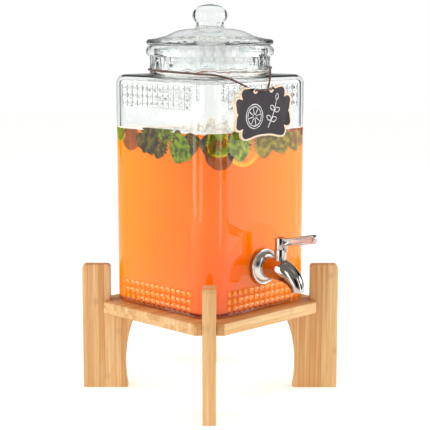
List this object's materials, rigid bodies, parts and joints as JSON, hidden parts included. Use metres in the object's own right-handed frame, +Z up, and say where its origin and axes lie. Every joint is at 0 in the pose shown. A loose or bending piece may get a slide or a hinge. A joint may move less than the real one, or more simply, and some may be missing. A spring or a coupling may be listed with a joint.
{
  "type": "beverage dispenser",
  "caption": "Square glass drink jar with studded bands, lift-off glass lid and quarter-turn steel tap, on a four-legged bamboo stand.",
  "frame": {"origin": "on the table, on the jar's vertical axis, in the middle of the stand's four feet", "axes": "+Z up; -Y is the front, where the tap is; +X is to the right seen from the front; the legs stand on the diagonals"},
  "size_m": [0.21, 0.259, 0.4249],
  "materials": {
    "bamboo": "satin oiled",
    "screw_steel": "zinc plated",
    "clear_glass": "polished pressed glass",
    "twine": "twisted jute",
    "polished_steel": "polished stainless steel",
    "silicone": "translucent matte",
    "black_rubber": "matte",
    "chalkboard": "matte chalkboard paint on plywood"
  },
  "bodies": {
    "stand": {"stand_board": "bamboo", "leg_front_left": "bamboo", "leg_front_right": "bamboo", "leg_back_left": "bamboo", "leg_back_right": "bamboo", "leg_screws": "screw_steel"},
    "jar": {"jar": "clear_glass", "neck_twine": "twine", "spigot_body": "polished_steel", "escutcheon": "polished_steel", "outer_gasket": "silicone", "inner_gasket": "silicone", "inner_washer": "polished_steel", "lock_nut": "polished_steel", "plug_clip": "polished_steel"},
    "lid": {"lid_glass": "clear_glass", "lid_gasket": "silicone"},
    "lever": {"valve_plug": "polished_steel", "plug_o_rings": "black_rubber", "lever": "polished_steel", "lever_screw": "polished_steel"},
    "tag": {"chalk_tag": "chalkboard", "tag_twine": "twine"}
  },
  "joints": [
    {"name": "jar_lift", "type": "slide", "parent": "stand", "child": "jar", "axis": [0, 0, 1], "range_m": [0, 0.15]},
    {"name": "lid_lift", "type": "slide", "parent": "jar", "child": "lid", "axis": [0, 0, 1], "range_m": [0, 0.08]},
    {"name": "lever_turn", "type": "hinge", "parent": "jar", "child": "lever", "pos_m": [0, -0.105, 0.17], "axis": [0, 0, 1], "range_deg": [0, 90]},
    {"name": "tag_swing", "type": "hinge", "parent": "jar", "child": "tag", "pos_m": [-0.00809, -0.084, 0.34039], "axis": [-0.9998, 0, -0.0209], "range_deg": [0, 60]}
  ]
}
